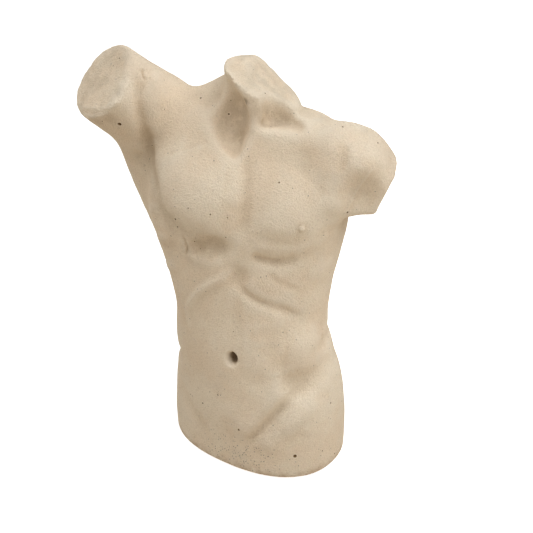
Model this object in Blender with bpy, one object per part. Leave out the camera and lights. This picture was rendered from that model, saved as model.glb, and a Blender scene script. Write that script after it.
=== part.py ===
"""Male torso cast in stone: one solid block with a cut neck, two arm stumps and a flat underside.

The body is a signed field, negative inside the stone: lofted trunk, neck and arms that melt into each
other, then muscles and creases laid on its surface. Figure sizes are in parts of the height, and one
part is a millimetre at the real size. +X is the figure's left, -Y its front, +Z up.
"""
import math
from itertools import product

import bmesh
import bpy
import numpy as np
from mathutils import Vector

# Driving sizes, in metres
TORSO_HEIGHT = 0.610
CUT_ROUNDING = 0.006
BASE_ROUNDING = 0.010

PARTS_HIGH = 610.0
PART = TORSO_HEIGHT / PARTS_HIGH
GRID_STEP = 5.0
COARSE = 4
SOLID_TRIANGLES = 9600


def smoothstep(t):
    t = np.clip(t, 0.0, 1.0)
    return t * t * (3.0 - 2.0 * t)


def union(a, b, blend):
    h = np.clip(0.5 + 0.5 * (b - a) / blend, 0.0, 1.0)
    return b + (a - b) * h - blend * h * (1.0 - h)


def cut(a, b, rounding):
    return -union(-a, -b, rounding)


def glide(at, places, values):
    """Values at the given places, joined by a smooth curve (Catmull-Rom)."""
    places = np.asarray(places, float)
    values = np.asarray(values, float)
    at = np.clip(at, places[0], places[-1])
    i = np.clip(np.searchsorted(places, at) - 1, 0, len(places) - 2)
    slope = np.gradient(values, places)
    step = places[i + 1] - places[i]
    t = (at - places[i]) / step
    t2, t3 = t * t, t * t * t
    return ((2 * t3 - 3 * t2 + 1) * values[i] + (t3 - 2 * t2 + t) * step * slope[i]
            + (-2 * t3 + 3 * t2) * values[i + 1] + (t3 - t2) * step * slope[i + 1])


# Trunk sections: height, middle x, middle y, half width right, half width left, front, back, squareness
TRUNK = np.array([
    (-20, 0, 0, 142, 137, 97, 104, 2.25),
    (40, 0, 0, 144, 138, 95, 106, 2.30),
    (90, -2, 0, 139, 140, 91, 96, 2.30),
    (140, -6, 0, 128, 138, 86, 83, 2.30),
    (185, -10, 0, 123, 126, 87, 76, 2.30),
    (235, -12, -2, 117, 118, 86, 75, 2.30),
    (285, -14, -2, 124, 124, 86, 80, 2.30),
    (340, -15, 0, 140, 135, 86, 90, 2.35),
    (390, -16, 3, 150, 144, 90, 98, 2.40),
    (440, -15, 8, 150, 141, 83, 100, 2.40),
    (490, -14, 14, 142, 128, 63, 92, 2.30),
    (530, -10, 22, 116, 98, 46, 72, 2.20),
    (565, -5, 28, 70, 60, 36, 52, 2.00),
], float)
TRUNK_TOP = 526.0
TWIST = ((-20, -6.0), (50, -5.0), (140, 0.0), (260, 6.0), (400, 15.0), (600, 16.0))


def trunk_frame(p):
    """Polar place round the trunk's middle line: distance, angle and section size.

    The angle is 0 in front and grows towards the figure's left.
    """
    z = p[..., 2]
    rows = [glide(z, TRUNK[:, 0], TRUNK[:, k]) for k in range(1, 8)]
    mid_x, mid_y, right, left, front, back, square = rows
    turn = np.radians(glide(z, *zip(*TWIST)))
    dx, dy = p[..., 0] - mid_x, p[..., 1] - mid_y
    x = dx * np.cos(turn) + dy * np.sin(turn)
    y = -dx * np.sin(turn) + dy * np.cos(turn)
    wide = np.where(x < 0, right, left)
    deep = np.where(y < 0, front, back)
    away = np.hypot(x, y) + 1e-6
    size = ((np.abs(x) / away / wide) ** square + (np.abs(y) / away / deep) ** square) ** (-1.0 / square)
    return away, np.arctan2(x, -y), size


def trunk(p):
    away, _, size = trunk_frame(p)
    return cut(away - size, p[..., 2] - TRUNK_TOP, 20.0)


def limb(p, root, tip, sections, square=2.1, up=(0, 0, 1)):
    """A lofted limb from root to tip. Sections: share of the length, half width, half height."""
    root, tip = np.array(root, float), np.array(tip, float)
    along = tip - root
    length = np.linalg.norm(along)
    along /= length
    side = np.cross(up, along)
    side /= np.linalg.norm(side)
    top = np.cross(along, side)
    q = p - root
    share = (q @ along) / length
    u, v = q @ side + 1e-5, q @ top
    at = [s[0] for s in sections]
    wide = glide(share, at, [s[1] for s in sections])
    high = glide(share, at, [s[2] for s in sections])
    away = np.hypot(u, v) + 1e-6
    size = ((np.abs(u) / away / wide) ** square + (np.abs(v) / away / high) ** square) ** (-1.0 / square)
    return cut(cut(away - size, -share * length, 12.0), (share - 1.0) * length, 12.0)


def lump(p, middle, radii, turn=(0, 0, 0)):
    """A solid egg with its own radii, turned by degrees about x, y and z."""
    rx, ry, rz = (math.radians(a) for a in turn)
    (cx, sx), (cy, sy), (cz, sz) = ((math.cos(a), math.sin(a)) for a in (rx, ry, rz))
    about_x = np.array([(1, 0, 0), (0, cx, -sx), (0, sx, cx)])
    about_y = np.array([(cy, 0, sy), (0, 1, 0), (-sy, 0, cy)])
    about_z = np.array([(cz, -sz, 0), (sz, cz, 0), (0, 0, 1)])
    q = (p - np.array(middle, float)) @ (about_z @ about_y @ about_x)
    radii = np.array(radii, float)
    near = np.linalg.norm(q / radii, axis=-1) + 1e-9
    steep = np.linalg.norm(q / radii ** 2, axis=-1) + 1e-9
    return near * (near - 1.0) / steep


def plane(p, point, facing):
    """Distance in front of a plane."""
    facing = np.array(facing, float)
    return (p - np.array(point, float)) @ (facing / np.linalg.norm(facing))


# Neck: it leans forward and its cut faces up and to the figure's left
NECK_ROOT = (-2, 36, 450)
NECK_TIP = (-6, 6, 680)
NECK_SECTIONS = ((0.0, 56, 54), (0.42, 50, 49), (0.6, 51, 52), (1.0, 51, 52))
NECK_CUT_AT = (-11, 25, 576.8)
NECK_CUT_FACING = (0.52, 0.07, 0.85)

# Raised right arm: up, out and forward, with flesh folded below it and one side of its rim rolled over
RIGHT_JOINT = (-162, 4, 505)
RIGHT_AIM = (-0.52, -0.62, 0.58)
RIGHT_REACH = 170.0
RIGHT_SECTIONS = ((0.0, 63, 58), (0.35, 60, 57), (0.65, 57, 58), (1.0, 55, 56))
RIGHT_CUT_SHARE = 0.625
RIGHT_CUT_FACING = (-0.30, -0.72, 0.63)
RIGHT_FOLD = ((-222, -62, 530), (-180, -36, 480))
RIGHT_ROLL_AT = (-176, -68, 585)
RIGHT_ROLL_FACING = (0.46, -0.56, 0.69)

# Lowered left arm: out, down and back. A brow of muscle overhangs a scoop in front of it
LEFT_JOINT = (126, 30, 466)
LEFT_AIM = (0.70, 0.38, -0.59)
LEFT_REACH = 140.0
LEFT_SECTIONS = ((0.0, 56, 56), (0.35, 52, 48), (0.7, 48, 44), (1.0, 46, 42))
LEFT_CUT_FACING = (0.855, 0.34, -0.39)
LEFT_CUT_AT = (174, 46, 439)
LEFT_SHOULDER = (126, 36, 464)
LEFT_BROW = ((136, 4, 490), (172, 26, 484))
LEFT_SCOOP = (194, -64, 436)
LEFT_UNDER_AT = (172, 0, 417)
LEFT_UNDER_FACING = (0.05, -0.10, -1.0)


def left_arm(p):
    """The lowered stump and the shoulder muscle above it, scooped out in front."""
    aim = np.array(LEFT_AIM) / np.linalg.norm(LEFT_AIM)
    joint = np.array(LEFT_JOINT, float)
    d = limb(p, joint, joint + aim * LEFT_REACH, LEFT_SECTIONS)
    d = union(d, lump(p, LEFT_SHOULDER, (61, 57, 62)), 20.0)
    d = union(d, limb(p, *LEFT_BROW, ((0, 24, 24), (1, 16, 16))), 16.0)
    d = cut(d, -lump(p, LEFT_SCOOP, (72, 72, 72)), 12.0)
    d = cut(d, plane(p, LEFT_UNDER_AT, LEFT_UNDER_FACING), 8.0)
    return cut(d, plane(p, LEFT_CUT_AT, LEFT_CUT_FACING), CUT_ROUNDING / PART)


def right_arm(p):
    """The raised stump: its cut face turns over in a broad roll towards the neck."""
    aim = np.array(RIGHT_AIM) / np.linalg.norm(RIGHT_AIM)
    joint = np.array(RIGHT_JOINT, float)
    d = limb(p, joint, joint + aim * RIGHT_REACH, RIGHT_SECTIONS)
    d = union(d, limb(p, *RIGHT_FOLD, ((0, 22, 22), (1, 22, 22))), 20.0)
    d = cut(d, plane(p, RIGHT_ROLL_AT, RIGHT_ROLL_FACING), 14.0)
    cut_at = joint + aim * RIGHT_REACH * RIGHT_CUT_SHARE
    return cut(d, plane(p, cut_at, RIGHT_CUT_FACING), CUT_ROUNDING / PART)


def body(p):
    """The whole figure without its finer carving."""
    d = trunk(p)
    neck = limb(p, NECK_ROOT, NECK_TIP, NECK_SECTIONS, up=(0, 1, 0))
    neck = cut(neck, plane(p, NECK_CUT_AT, NECK_CUT_FACING), CUT_ROUNDING / PART)
    d = union(d, neck, 16.0)
    # shoulder slopes, each with the flesh over its collar bone
    d = union(d, limb(p, (-20, 42, 568), (-136, 26, 506), ((0, 34, 34), (1, 28, 24))), 24.0)
    d = union(d, limb(p, (-26, -2, 508), (-132, -6, 502), ((0, 30, 30), (1, 34, 34))), 42.0)
    d = union(d, limb(p, (0, 60, 502), (122, 34, 490), ((0, 30, 30), (1, 30, 30))), 16.0)
    d = union(d, limb(p, (4, -2, 506), (112, 16, 498), ((0, 22, 22), (1, 28, 28))), 24.0)
    # the back fold of the raised arm
    fold = ((0, 24, 24), (0.2, 34, 38), (0.4, 40, 43), (1, 42, 46))
    d = union(d, limb(p, (-112, 10, 262), (-205, -12, 530), fold), 30.0)
    d = union(d, right_arm(p), 20.0)
    d = union(d, left_arm(p), 24.0)
    # buttocks
    d = union(d, lump(p, (-60, 60, 30), (66, 56, 78)), 16.0)
    d = union(d, lump(p, (50, 58, 34), (62, 54, 78)), 16.0)
    # hollows at the root of the neck
    pit = ((0, 8, 8), (0.35, 27, 27), (0.65, 24, 24), (1, 5, 5))
    d = cut(d, -limb(p, (-42, -28, 586), (-9, -50, 482), pit), 12.0)
    d = cut(d, -limb(p, (44, -14, 522), (49, -9, 640), ((0, 31, 31), (1, 31, 31)), up=(0, 1, 0)), 7.0)
    return cut(d, -p[..., 2], BASE_ROUNDING / PART)


LOW = np.array((-290.0, -190.0, -12.0))
HIGH = np.array((290.0, 190.0, 690.0))


def surface_net(field, low, step):
    """A closed mesh of quads where a sampled field changes sign: one point per mixed cell."""
    corners = list(product((0, 1), repeat=3))
    nx, ny, nz = (n - 1 for n in field.shape)
    at = {c: field[c[0]:c[0] + nx, c[1]:c[1] + ny, c[2]:c[2] + nz] for c in corners}
    inside = sum((at[c] < 0).astype(int) for c in corners)
    cells = np.argwhere((inside > 0) & (inside < 8))
    number = np.full((nx, ny, nz), -1)
    number[tuple(cells.T)] = np.arange(len(cells))
    total, count = np.zeros((len(cells), 3)), np.zeros(len(cells))
    value = {c: at[c][tuple(cells.T)] for c in corners}
    for a, b in product(corners, corners):
        if sum(b) != sum(a) + 1 or any(q < p for p, q in zip(a, b)):
            continue
        crosses = (value[a] < 0) != (value[b] < 0)
        share = value[a] / np.where(crosses, value[a] - value[b], 1.0)
        spot = np.array(a) + share[:, None] * (np.array(b) - np.array(a))
        total += np.where(crosses[:, None], spot, 0.0)
        count += crosses
    points = low + (cells + total / count[:, None]) * step
    quads = []
    for axis in range(3):
        u, v = (axis + 1) % 3, (axis + 2) % 3
        ahead = np.moveaxis(field, (axis, u, v), (0, 1, 2))
        cell = np.moveaxis(number, (axis, u, v), (0, 1, 2))
        change = (ahead[:-1] < 0) != (ahead[1:] < 0)
        i, j, k = np.nonzero(change[:, 1:-1, 1:-1])
        j, k = j + 1, k + 1
        loop = np.stack([cell[i, j - 1, k - 1], cell[i, j, k - 1], cell[i, j, k], cell[i, j - 1, k]], 1)
        leaves = ahead[i, j, k] < 0
        quads.append(np.where(leaves[:, None], loop, loop[:, ::-1]))
    return points, np.concatenate(quads)


def slope(shape, p, reach=0.5):
    steps = np.eye(3) * reach
    return np.stack([(shape(p + s) - shape(p - s)) / (2 * reach) for s in steps], -1)


def settle(shape, p, rounds=3):
    """Points moved onto the zero level of a shape, straight along its slope."""
    for _ in range(rounds):
        g = slope(shape, p)
        p = p - g * (shape(p) / np.maximum((g * g).sum(-1), 1e-6))[:, None]
    return p


def without_pinches(field):
    """Samples filled in wherever a square of four has stone at two opposite corners only.

    The surface would touch itself along an edge there.
    """
    for axis in (0, 1, 2) * 3:
        f = np.moveaxis(field, axis, 0)
        stone = f < 0
        a, b, c, d = stone[:, :-1, :-1], stone[:, 1:, :-1], stone[:, 1:, 1:], stone[:, :-1, 1:]
        for i, j, k in np.argwhere((a == c) & (b == d) & (a != b)):
            square = [(i, j, k), (i, j + 1, k), (i, j + 1, k + 1), (i, j, k + 1)]
            hollow = [spot for spot in square if f[spot] >= 0]
            f[min(hollow, key=lambda spot: f[spot], default=square[0])] = -0.01
    return field


def sampled(step):
    """The body's field on a fine grid: exact near the surface, only roughly right away from it."""
    wide = step * COARSE
    counts = np.ceil((HIGH - LOW) / wide).astype(int) + 1
    axes = [LOW[k] + wide * np.arange(counts[k]) for k in range(3)]
    field = body(np.stack(np.meshgrid(*axes, indexing="ij"), -1))
    for axis in range(3):
        at = np.arange((counts[axis] - 1) * COARSE + 1) / COARSE
        lower = np.minimum(at.astype(int), counts[axis] - 2)
        share = (at - lower).reshape([-1 if k == axis else 1 for k in range(3)])
        field = np.take(field, lower, axis) * (1 - share) + np.take(field, lower + 1, axis) * share
    near = np.nonzero(np.abs(field) < 1.3 * wide)
    field[near] = body(LOW + step * np.stack(near, -1))
    return without_pinches(field)


def rough_mesh(step):
    points, quads = surface_net(sampled(step), LOW, step)
    return settle(body, points), quads


FACES = {"front": (0, -1, 0), "back": (0, 1, 0), "right": (-1, 0, 0), "left": (1, 0, 0)}


def across(face):
    """Which coordinates a place on this side of the figure gives: across and up."""
    return (0, 2) if face in ("front", "back") else (1, 2)


def lay(face, line, apart=4.0):
    """A smooth line through waypoints seen from one side, laid on the body as points."""
    line = np.array(line, float)
    length = np.linalg.norm(np.diff(line, axis=0), axis=1).sum()
    at = np.linspace(0, len(line) - 1, 200)
    seen = np.stack([glide(at, np.arange(len(line)), line[:, k]) for k in range(2)], -1)
    gone = np.append(0.0, np.cumsum(np.linalg.norm(np.diff(seen, axis=0), axis=1)))
    at = np.linspace(0, gone[-1], int(length / apart) + 3)
    seen = np.stack([np.interp(at, gone, seen[:, k]) for k in range(2)], -1)
    outward = np.array(FACES[face], float)
    depth = np.linspace(320.0, -60.0, 200)
    probe = outward * depth[:, None, None] + np.zeros((1, len(at), 1))
    probe[..., across(face)[0]] = seen[:, 0]
    probe[..., across(face)[1]] = seen[:, 1]
    field = body(probe)
    first = np.argmax(field < 0, axis=0)
    pick = np.arange(len(at))
    outer, inner = field[first - 1, pick], field[first, pick]
    share = outer / (outer - inner)
    return probe[first - 1, pick] * (1 - share[:, None]) + probe[first, pick] * share[:, None]


def beside(p, n, course):
    """Signed distance from a course (+ on its left when seen from outside) and the share along it."""
    run = np.gradient(course, axis=0)
    run /= np.linalg.norm(run, axis=1)[:, None]
    gap = np.linalg.norm(np.diff(course, axis=0), axis=1).mean()
    i = np.argmin(((p[:, None, :] - course) ** 2).sum(-1), axis=1)
    off = p - course[i]
    along = np.clip((off * run[i]).sum(-1), -gap, gap)
    off = off - along[:, None] * run[i]
    side = np.sign((np.cross(n, run[i]) * off).sum(-1))
    return np.linalg.norm(off, axis=-1) * side, (i + along / gap) / (len(course) - 1)


def stroke(face, line, reach, profile, fade_ends=0.22):
    """A feature that follows a line: profile gives its height at a signed distance."""
    course = lay(face, line)

    def rise(p, n):
        out = np.zeros(len(p))
        near = ((p > course.min(0) - reach) & (p < course.max(0) + reach)).all(-1)
        away, share = beside(p[near], n[near], course)
        out[near] = profile(away) * smoothstep(share / fade_ends) * smoothstep((1 - share) / fade_ends)
        return out
    return rise


def ridge(face, line, width, height):
    return stroke(face, line, 3 * width, lambda away: height * np.exp(-(away / width) ** 2))


def groove(face, line, width, depth):
    return ridge(face, line, width, -depth)


def step(face, line, width, height, fade):
    """A border: the surface rises on the left of the line and then eases back."""
    def profile(away):
        return height * smoothstep(0.5 + away / (2 * width)) * np.exp(-(np.maximum(away, 0) / fade) ** 2)
    return stroke(face, line, 2.5 * fade, profile)


def pad(face, middle, radii, height, tilt=0.0):
    """A swelling, or a dent when the height is negative, with a round or oval outline."""
    a, b = across(face)
    turn = math.radians(tilt)

    def rise(p, n):
        u, v = p[:, a] - middle[0], p[:, b] - middle[1]
        far = ((u * math.cos(turn) + v * math.sin(turn)) / radii[0]) ** 2
        far += ((v * math.cos(turn) - u * math.sin(turn)) / radii[1]) ** 2
        facing = np.clip(3 * n @ np.array(FACES[face], float), 0, 1)
        return height * np.clip(1 - far, 0, 1) ** 2 * facing
    return rise


def chest():
    return [
        pad("front", (-58, 442), (90, 70), 12, -15),
        pad("front", (94, 430), (82, 76), 13, 10),
        step("front", ((-149, 505), (-143, 452), (-110, 427), (-81, 406), (-50, 393), (-15, 385), (15, 386)),
             14, 5, 80),
        step("front", ((30, 401), (48, 395), (77, 389), (100, 390), (116, 401), (137, 430), (148, 452)),
             12, 5, 50),
        groove("front", ((-2, 502), (10, 480), (18, 450), (23, 420), (23, 395), (22, 372)), 10, 3),
        ridge("front", ((-14, 494), (-6, 474), (2, 447), (6, 420)), 18, 2),
        ridge("front", ((0, 564), (4, 546), (8, 528), (10, 512)), 5, 3),
    ]


def ribs():
    return [
        groove("front", ((28, 358), (43, 353), (60, 348), (78, 350), (94, 357)), 8, 5),
        ridge("front", ((32, 374), (70, 370), (100, 376), (125, 390)), 10, 3),
        groove("front", ((49, 334), (66, 321), (85, 309), (98, 297)), 5, 1.5),
        groove("front", ((8, 309), (26, 298), (44, 287), (64, 279), (82, 272), (96, 262)), 7, 3.5),
        ridge("front", ((14, 340), (-4, 320), (-32, 300), (-56, 277), (-74, 246), (-70, 206)), 6, 3.5),
        pad("front", (-28, 360), (44, 26), -9, 15),
        pad("front", (12, 320), (24, 26), -4),
        # side muscles between the ribs, under the raised arm
        pad("front", (-126, 396), (26, 14), 3, 35),
        pad("front", (-116, 352), (26, 14), 3, 35),
        pad("front", (-106, 308), (26, 14), 3, 35),
        pad("front", (112, 330), (16, 26), 3, -20),
    ]


def belly():
    return [
        pad("front", (2, 140), (94, 130), 10),
        groove("front", ((22, 348), (19, 304), (14, 255), (10, 212)), 9, 1.5),
        step("front", ((58, 92), (74, 130), (80, 158), (76, 190), (77, 236), (76, 264), (64, 292)),
             12, 4, 40),
        groove("front", ((22, 232), (40, 231), (58, 232), (76, 237)), 8, 0.8),
        groove("front", ((30, 214), (44, 214), (58, 216), (74, 220)), 6, 0.6),
        pad("front", (44, 216), (40, 54), 4),
        pad("front", (50, 184), (30, 26), 2),
        pad("front", (98, 158), (32, 28), -8, -10),
        pad("front", (98, 212), (36, 50), 12),
        pad("front", (7, 191), (12, 15), -14),
    ]


def hips():
    groin = ((25, 48), (37, 65), (51, 85), (63, 103), (79, 127), (93, 144), (103, 155), (111, 159))
    return [
        groove("left", ((-48, 203), (-20, 205), (15, 208), (60, 220)), 10, 3),
        groove("right", ((-74, 150), (-40, 149), (0, 150), (50, 160)), 9, 5),
        ridge("front", ((110, 197), (120, 180), (128, 150), (132, 128)), 14, 2),
        step("front", groin, 8, 6, 40),
        groove("front", groin, 7, 3),
        ridge("front", ((126, 138), (112, 122), (98, 102), (82, 80), (66, 58), (54, 40)), 16, 4),
        pad("front", (106, 108), (36, 44), 4, -20),
        groove("front", ((-118, 104), (-92, 80), (-65, 64), (-36, 44)), 15, 2),
    ]


def limbs():
    return [
        groove("front", ((-167, 604), (-158, 588), (-153, 566), (-149, 540), (-149, 512), (-148, 482),
                         (-136, 456), (-112, 434), (-88, 414)), 11, 7),
    ]


def back():
    return [
        groove("back", ((-14, 520), (-18, 460), (-18, 400), (-14, 320), (-10, 240), (-4, 160), (-3, 110)), 13, 8),
        ridge("back", ((-52, 400), (-50, 320), (-44, 240), (-38, 170)), 20, 5),
        ridge("back", ((18, 400), (24, 320), (26, 240), (32, 170)), 20, 5),
        groove("back", ((-3, 112), (-3, 70), (-3, 30), (-3, -10)), 8, 14),
        pad("back", (-92, 450), (50, 60), 9, -20),
        pad("back", (64, 424), (48, 58), 9, 8),
        step("back", ((60, 330), (30, 350), (22, 390), (24, 440)), 12, 4, 40),
        step("back", ((-62, 450), (-62, 400), (-74, 360), (-112, 330)), 12, 4, 40),
        pad("back", (-38, 128), (11, 11), -3),
        pad("back", (32, 128), (11, 11), -3),
    ]


def figure_mesh(step_size):
    """The finished surface: the body's mesh with its carving raised along the normals."""
    points, quads = rough_mesh(step_size)
    n = slope(body, points)
    n /= np.linalg.norm(n, axis=-1)[:, None]
    rise = sum(f(points, n) for f in chest() + ribs() + belly() + hips() + limbs() + back())
    rise *= smoothstep(points[:, 2] / 14.0)
    points = points + n * rise[:, None]
    points[:, 2] = np.where(np.abs(points[:, 2]) < 0.4, 0.0, points[:, 2])
    return points, quads


def mesh_object(name, points, faces):
    mesh = bpy.data.meshes.new(name)
    mesh.from_pydata((points * PART).tolist(), [], faces.tolist())
    mesh.validate()
    obj = bpy.data.objects.new(name, mesh)
    bpy.context.scene.collection.objects.link(obj)
    return obj


def thinned(obj, most):
    """The same closed mesh with at most that many triangles, standing flat on the ground."""
    bm = bmesh.new()
    bm.from_mesh(obj.data)
    bmesh.ops.triangulate(bm, faces=bm.faces)
    bm.to_mesh(obj.data)
    bm.free()
    fewer = obj.modifiers.new("fewer triangles", "DECIMATE")
    fewer.ratio = most / len(obj.data.polygons)
    graph = bpy.context.evaluated_depsgraph_get()
    mesh = bpy.data.meshes.new_from_object(obj.evaluated_get(graph))
    obj.modifiers.clear()
    obj.data = mesh
    for v in mesh.vertices:
        if v.co.z < 0.6 * PART:
            v.co.z = 0.0
    return obj


def stone():
    material = bpy.data.materials.new("stone")
    material.use_nodes = True
    shader = material.node_tree.nodes["Principled BSDF"]
    shader.inputs["Base Color"].default_value = (0.62, 0.52, 0.39, 1.0)
    shader.inputs["Roughness"].default_value = 0.9
    return material


def main():
    for obj in list(bpy.data.objects):
        bpy.data.objects.remove(obj)
    points, quads = figure_mesh(GRID_STEP)
    torso = thinned(mesh_object("torso", points, quads), SOLID_TRIANGLES)
    torso.data.materials.append(stone())
    torso.data.shade_smooth()


if __name__ == "__main__":
    main()
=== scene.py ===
# %% [markdown]
# # A stone torso, from its solid to its skin
# The object is a male torso cast in stone: a headless trunk with the stumps of a neck and two arms.
# The imported solid already has the right size, place and pose. This script gives it the surface that the
# eye expects: sharper modelling, a navel and a nipple, the worn cuts, air holes from the casting, and
# sand-coloured stone with dirt and painted shade in its hollows. It starts by loading that solid as a fixed
# frame.

# %% Load the frame
import math
from itertools import product

import bmesh
import bpy
import numpy as np
from mathutils import Matrix, Vector, noise


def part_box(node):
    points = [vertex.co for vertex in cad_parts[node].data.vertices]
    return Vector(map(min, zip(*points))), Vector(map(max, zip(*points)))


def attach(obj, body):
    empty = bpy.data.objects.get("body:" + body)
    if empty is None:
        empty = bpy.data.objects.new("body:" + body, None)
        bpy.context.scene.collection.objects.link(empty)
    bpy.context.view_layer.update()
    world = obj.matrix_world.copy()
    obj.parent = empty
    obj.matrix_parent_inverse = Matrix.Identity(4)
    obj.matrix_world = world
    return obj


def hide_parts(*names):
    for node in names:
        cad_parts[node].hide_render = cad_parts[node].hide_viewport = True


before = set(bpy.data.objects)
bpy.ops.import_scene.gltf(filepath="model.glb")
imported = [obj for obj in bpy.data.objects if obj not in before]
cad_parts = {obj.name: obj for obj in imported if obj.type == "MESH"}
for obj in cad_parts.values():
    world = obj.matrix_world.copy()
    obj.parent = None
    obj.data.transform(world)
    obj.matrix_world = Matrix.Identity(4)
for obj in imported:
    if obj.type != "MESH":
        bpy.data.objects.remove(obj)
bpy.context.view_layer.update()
low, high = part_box("torso")
print("solid box in metres", [round(v, 4) for v in (*low, *high)])

# %% [markdown]
# ## The figure's own measure
# A sculptor measures a figure in parts of its height, so that the same figure can be cast at any size.
# Here the height is 610 parts, and the frame says how tall the real casting is. Every size below is in
# these parts, which come out as millimetres, and only the last step turns them into metres.

# %% One part of the figure
PARTS_HIGH = 610.0
PART = round(high.z - low.z, 3) / PARTS_HIGH
CUT_ROUNDING = 0.006
BASE_ROUNDING = 0.010
print("one part of the figure is", round(PART * 1000, 4), "mm")


# %% [markdown]
# ## Shapes as fields
# Stone that was modelled in clay has no seams: arms, neck and trunk melt into each other. A signed field
# suits that. It is a function that is negative inside the stone and positive outside, and two fields can
# be blended with one line of arithmetic. Metaballs or a remesh of joined meshes would blend too, but
# they give less control over how far each joint is rounded.

# %% Blending two fields
def smoothstep(t):
    t = np.clip(t, 0.0, 1.0)
    return t * t * (3.0 - 2.0 * t)


def union(a, b, blend):
    h = np.clip(0.5 + 0.5 * (b - a) / blend, 0.0, 1.0)
    return b + (a - b) * h - blend * h * (1.0 - h)


def cut(a, b, rounding):
    return -union(-a, -b, rounding)


def glide(at, places, values):
    """Values at the given places, joined by a smooth curve (Catmull-Rom)."""
    places = np.asarray(places, float)
    values = np.asarray(values, float)
    at = np.clip(at, places[0], places[-1])
    i = np.clip(np.searchsorted(places, at) - 1, 0, len(places) - 2)
    slope = np.gradient(values, places)
    step = places[i + 1] - places[i]
    t = (at - places[i]) / step
    t2, t3 = t * t, t * t * t
    return ((2 * t3 - 3 * t2 + 1) * values[i] + (t3 - 2 * t2 + t) * step * slope[i]
            + (-2 * t3 + 3 * t2) * values[i + 1] + (t3 - t2) * step * slope[i + 1])


print("two surfaces 4 apart and 10 soft meet at", union(-2.0, 2.0, 10.0))

# %% [markdown]
# ## The trunk
# The trunk is a loft: thirteen level sections from the foot to the shoulders, each an oval with its own
# left and right width and its own depth in front and behind. The hips and the chest also turn against
# each other, as they do when the weight is on one leg, so each level is turned a little further.

# %% Trunk sections
# Trunk sections: height, middle x, middle y, half width right, half width left, front, back, squareness
TRUNK = np.array([
    (-20, 0, 0, 142, 137, 97, 104, 2.25),
    (40, 0, 0, 144, 138, 95, 106, 2.30),
    (90, -2, 0, 139, 140, 91, 96, 2.30),
    (140, -6, 0, 128, 138, 86, 83, 2.30),
    (185, -10, 0, 123, 126, 87, 76, 2.30),
    (235, -12, -2, 117, 118, 86, 75, 2.30),
    (285, -14, -2, 124, 124, 86, 80, 2.30),
    (340, -15, 0, 140, 135, 86, 90, 2.35),
    (390, -16, 3, 150, 144, 90, 98, 2.40),
    (440, -15, 8, 150, 141, 83, 100, 2.40),
    (490, -14, 14, 142, 128, 63, 92, 2.30),
    (530, -10, 22, 116, 98, 46, 72, 2.20),
    (565, -5, 28, 70, 60, 36, 52, 2.00),
], float)
TRUNK_TOP = 526.0
TWIST = ((-20, -6.0), (50, -5.0), (140, 0.0), (260, 6.0), (400, 15.0), (600, 16.0))


def trunk_frame(p):
    """The distance from the trunk's middle line, and how far its section reaches that way."""
    z = p[..., 2]
    rows = [glide(z, TRUNK[:, 0], TRUNK[:, k]) for k in range(1, 8)]
    mid_x, mid_y, right, left, front, back, square = rows
    turn = np.radians(glide(z, *zip(*TWIST)))
    dx, dy = p[..., 0] - mid_x, p[..., 1] - mid_y
    x = dx * np.cos(turn) + dy * np.sin(turn)
    y = -dx * np.sin(turn) + dy * np.cos(turn)
    wide = np.where(x < 0, right, left)
    deep = np.where(y < 0, front, back)
    away = np.hypot(x, y) + 1e-6
    size = ((np.abs(x) / away / wide) ** square + (np.abs(y) / away / deep) ** square) ** (-1.0 / square)
    return away, size


def trunk(p):
    away, size = trunk_frame(p)
    return cut(away - size, p[..., 2] - TRUNK_TOP, 20.0)


print(len(TRUNK), "sections, turned by", TWIST[-1][1] - TWIST[0][1], "degrees in all")


# %% [markdown]
# ## Limbs, eggs and planes
# Three more fields make the rest. A limb is a loft along a slanting line. A lump is an egg, for a
# shoulder or a buttock. A plane cuts a limb off, as the saw or the break did on the real piece.

# %% Fields for limbs, lumps and cuts
def limb(p, root, tip, sections, square=2.1, up=(0, 0, 1)):
    """A lofted limb from root to tip. Sections: share of the length, half width, half height."""
    root, tip = np.array(root, float), np.array(tip, float)
    along = tip - root
    length = np.linalg.norm(along)
    along /= length
    side = np.cross(up, along)
    side /= np.linalg.norm(side)
    top = np.cross(along, side)
    q = p - root
    share = (q @ along) / length
    u, v = q @ side + 1e-5, q @ top
    at = [s[0] for s in sections]
    wide = glide(share, at, [s[1] for s in sections])
    high = glide(share, at, [s[2] for s in sections])
    away = np.hypot(u, v) + 1e-6
    size = ((np.abs(u) / away / wide) ** square + (np.abs(v) / away / high) ** square) ** (-1.0 / square)
    return cut(cut(away - size, -share * length, 12.0), (share - 1.0) * length, 12.0)


def lump(p, middle, radii, turn=(0, 0, 0)):
    """A solid egg with its own radii, turned by degrees about x, y and z."""
    rx, ry, rz = (math.radians(a) for a in turn)
    (cx, sx), (cy, sy), (cz, sz) = ((math.cos(a), math.sin(a)) for a in (rx, ry, rz))
    about_x = np.array([(1, 0, 0), (0, cx, -sx), (0, sx, cx)])
    about_y = np.array([(cy, 0, sy), (0, 1, 0), (-sy, 0, cy)])
    about_z = np.array([(cz, -sz, 0), (sz, cz, 0), (0, 0, 1)])
    q = (p - np.array(middle, float)) @ (about_z @ about_y @ about_x)
    radii = np.array(radii, float)
    near = np.linalg.norm(q / radii, axis=-1) + 1e-9
    steep = np.linalg.norm(q / radii ** 2, axis=-1) + 1e-9
    return near * (near - 1.0) / steep


def plane(p, point, facing):
    """Distance in front of a plane."""
    facing = np.array(facing, float)
    return (p - np.array(point, float)) @ (facing / np.linalg.norm(facing))


print("limb, lump and plane are ready")

# %% [markdown]
# ## Where the neck and the arms go
# The neck leans and is cut on a slant that faces the figure's left. The right arm is raised and cut
# through a hand's width from the shoulder. The left one hangs back and is cut close to the body.

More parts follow.
